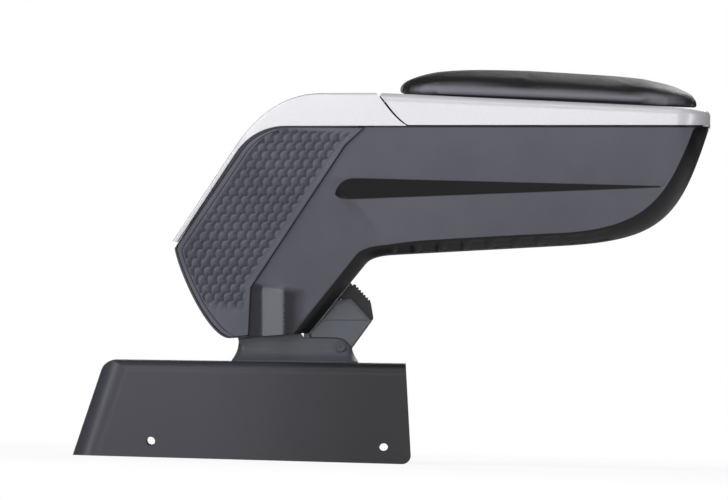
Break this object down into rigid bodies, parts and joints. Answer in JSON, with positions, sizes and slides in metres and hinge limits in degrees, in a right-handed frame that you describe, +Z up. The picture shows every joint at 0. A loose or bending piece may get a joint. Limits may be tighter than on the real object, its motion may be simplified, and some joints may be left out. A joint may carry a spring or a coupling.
{
  "type": "car centre armrest",
  "caption": "Car centre armrest with a sliding padded lid over a storage box, a curved leg that tilts on a quick-release foot, and a folded steel floor bracket.",
  "frame": {"origin": "middle of the part in length and width, on the plane of the bracket's bottom edges", "axes": "+X towards the front of the armrest, +Y across it to the left, +Z up"},
  "size_m": [0.4726, 0.1274, 0.2974],
  "materials": {
    "black_steel": "satin black powder coat",
    "zinc_steel": "bright zinc plate",
    "foot_plastic": "fine grained mid grey",
    "dark_plastic": "moulded dark grey",
    "rubber": "matt black",
    "button_plastic": "ribbed black",
    "shell_plastic": "fine grained grey",
    "panel_plastic": "blue grey with a raised scale texture",
    "silver_plastic": "satin silver lacquer",
    "bin_plastic": "grained black",
    "felt": "black felt",
    "black_leatherette": "soft black leatherette"
  },
  "bodies": {
    "root": {"base_bracket": "black_steel", "dock_plate": "zinc_steel", "dock_bolts": "zinc_steel", "dock_nuts": "zinc_steel", "foot": "foot_plastic", "tilt_pin": "zinc_steel", "friction_washers": "dark_plastic", "rest_buffers": "rubber", "release_housing": "foot_plastic", "lever_pin": "zinc_steel", "button_spring": "zinc_steel"},
    "button": {"release_button": "button_plastic"},
    "lever": {"release_lever": "zinc_steel"},
    "arm": {"arm_shell": "shell_plastic", "tilt_bushes": "dark_plastic", "left_side_panel": "panel_plastic", "right_side_panel": "panel_plastic", "rear_trim": "silver_plastic", "storage_bin": "bin_plastic", "bin_mat": "felt", "hinge_block": "dark_plastic", "lid_hinge_pins": "zinc_steel", "strike_plate": "zinc_steel"},
    "lid_carrier": {"lid_carrier": "dark_plastic", "catch_magnet": "zinc_steel"},
    "lid": {"lid_frame": "silver_plastic", "left_slide_rail": "dark_plastic", "right_slide_rail": "dark_plastic", "pad_board": "dark_plastic", "arm_pad": "black_leatherette", "pad_screws": "zinc_steel"}
  },
  "joints": [
    {"name": "arm_tilt", "type": "hinge", "parent": "root", "child": "arm", "pos_m": [-0.11257, 0, 0.12923], "axis": [0, -1, 0], "range_deg": [0, 65]},
    {"name": "lid_open", "type": "hinge", "parent": "arm", "child": "lid_carrier", "pos_m": [-0.01073, 0, 0.27583], "axis": [0, -1, 0], "range_deg": [0, 75]},
    {"name": "lid_slide", "type": "slide", "parent": "lid_carrier", "child": "lid", "axis": [0.9996, 0, 0.0279], "range_m": [0, 0.05]},
    {"name": "button_press", "type": "slide", "parent": "root", "child": "button", "axis": [-0.7157, 0, -0.6984], "range_m": [0, 0.003], "stiffness_N_per_m": 800, "deforming": ["button_spring"]},
    {"name": "lever_turn", "type": "hinge", "parent": "root", "child": "lever", "pos_m": [-0.03747, 0, 0.08668], "axis": [0, -1, 0], "range_deg": [0, 21.6]}
  ],
  "couplings": [
    {"joint": "lever_turn", "follows": "button_press", "rad_per_m": 125.1}
  ]
}
